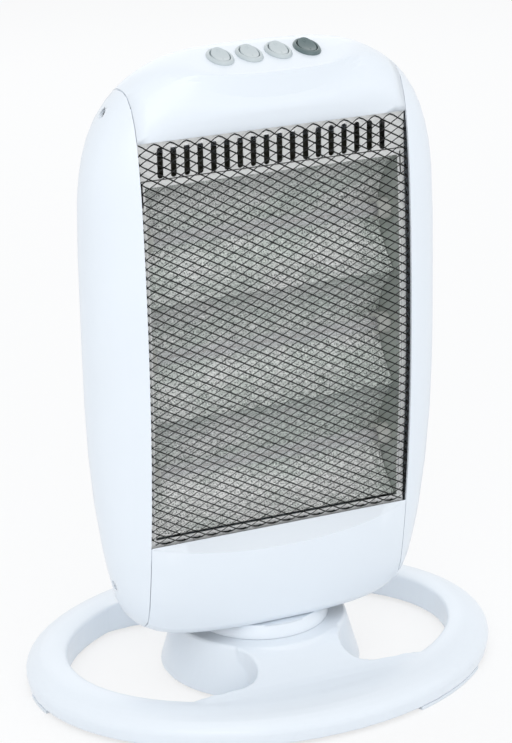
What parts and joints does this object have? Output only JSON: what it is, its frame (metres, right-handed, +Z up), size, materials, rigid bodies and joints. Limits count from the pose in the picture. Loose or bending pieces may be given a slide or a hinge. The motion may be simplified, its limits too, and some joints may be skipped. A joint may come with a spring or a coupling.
{
  "type": "halogen heater",
  "caption": "Upright halogen heater with guarded quartz tubes in a troughed reflector, tilted switch deck and a swinging body on an oval ring base.",
  "frame": {"origin": "on the floor under the swivel axis, at the middle of the oval base ring", "axes": "+Z is up, the heater faces -Y, and +X is to the right of a viewer who stands in front of it"},
  "size_m": [0.3632, 0.2894, 0.4815],
  "materials": {
    "body_plastic": "satin",
    "steel": "plain",
    "bright_plate": "bright",
    "shield_black": "matte, heat-proof",
    "hammered_aluminium": "hammered",
    "quartz": "clear",
    "filament_wire": "oxidised",
    "ceramic": "opaque, unglazed",
    "guard_black": "satin",
    "motor_steel": "satin",
    "inner_plastic": "matte",
    "wire_insulation": "matte",
    "gland_plastic": "matte",
    "light_switch_plastic": "satin",
    "dark_switch_plastic": "satin"
  },
  "bodies": {
    "base": {"base_moulding": "body_plastic", "foot_pads": "body_plastic", "pedestal_cover": "body_plastic", "pedestal_screws": "steel", "swivel_post": "body_plastic", "post_screws": "steel", "drive_plate": "steel", "drive_plate_screws": "steel"},
    "heater": {"turntable_collar": "body_plastic", "collar_screws": "steel", "chassis_floor": "steel", "left_rail": "steel", "right_rail": "steel", "rail_screws": "steel", "vent_plate": "bright_plate", "reflector": "hammered_aluminium", "left_end_plate": "steel", "right_end_plate": "steel", "heat_shield": "shield_black", "lower_quartz_tube": "quartz", "middle_quartz_tube": "quartz", "upper_quartz_tube": "quartz", "lower_filament": "filament_wire", "middle_filament": "filament_wire", "upper_filament": "filament_wire", "left_end_caps": "ceramic", "right_end_caps": "ceramic", "left_tube_clips": "steel", "right_tube_clips": "steel", "mesh_guard": "guard_black", "left_side_panel": "body_plastic", "right_side_panel": "body_plastic", "top_panel": "body_plastic", "bottom_panel": "body_plastic", "rear_cover": "body_plastic", "side_screws": "steel", "rear_screws": "steel", "swing_motor": "motor_steel", "motor_bracket": "steel", "motor_screws": "steel", "tip_switch": "inner_plastic", "terminal_block": "inner_plastic", "thermal_cutout": "inner_plastic", "cord_gland": "gland_plastic", "wiring_loom": "wire_insulation", "switch_body_1": "light_switch_plastic", "switch_body_2": "light_switch_plastic", "switch_body_3": "light_switch_plastic", "switch_body_4": "dark_switch_plastic"},
    "crank_arm": {"crank": "steel"},
    "rocker_1_button": {"rocker_1": "light_switch_plastic"},
    "rocker_2_button": {"rocker_2": "light_switch_plastic"},
    "rocker_3_button": {"rocker_3": "light_switch_plastic"},
    "rocker_4_button": {"rocker_4": "dark_switch_plastic"},
    "tip_weight": {"tip_pendulum": "steel"}
  },
  "joints": [
    {"name": "swing", "type": "hinge", "parent": "base", "child": "heater", "pos_m": [0, 0, 0.05], "axis": [0, 0, 1], "range_deg": [-35, 35]},
    {"name": "crank_turn", "type": "hinge", "parent": "heater", "child": "crank_arm", "pos_m": [0.021, 0, 0.066], "axis": [0, 0, 1], "range_deg": [-90.01, 90.01]},
    {"name": "rocker_1_press", "type": "hinge", "parent": "heater", "child": "rocker_1_button", "pos_m": [-0.033, -0.02479, 0.47362], "axis": [1, 0, 0], "range_deg": [-18, 0]},
    {"name": "rocker_2_press", "type": "hinge", "parent": "heater", "child": "rocker_2_button", "pos_m": [-0.011, -0.02479, 0.47362], "axis": [1, 0, 0], "range_deg": [-18, 0]},
    {"name": "rocker_3_press", "type": "hinge", "parent": "heater", "child": "rocker_3_button", "pos_m": [0.011, -0.02479, 0.47362], "axis": [1, 0, 0], "range_deg": [-18, 0]},
    {"name": "rocker_4_press", "type": "hinge", "parent": "heater", "child": "rocker_4_button", "pos_m": [0.033, -0.02479, 0.47362], "axis": [1, 0, 0], "range_deg": [-18, 0]},
    {"name": "tip_swing", "type": "hinge", "parent": "heater", "child": "tip_weight", "pos_m": [-0.0575, -0.011, 0.082], "axis": [0, 1, 0], "range_deg": [-12, 12]}
  ],
  "couplings": [
    {"joint": "crank_turn", "follows": "swing", "ratio": -2.5714}
  ]
}
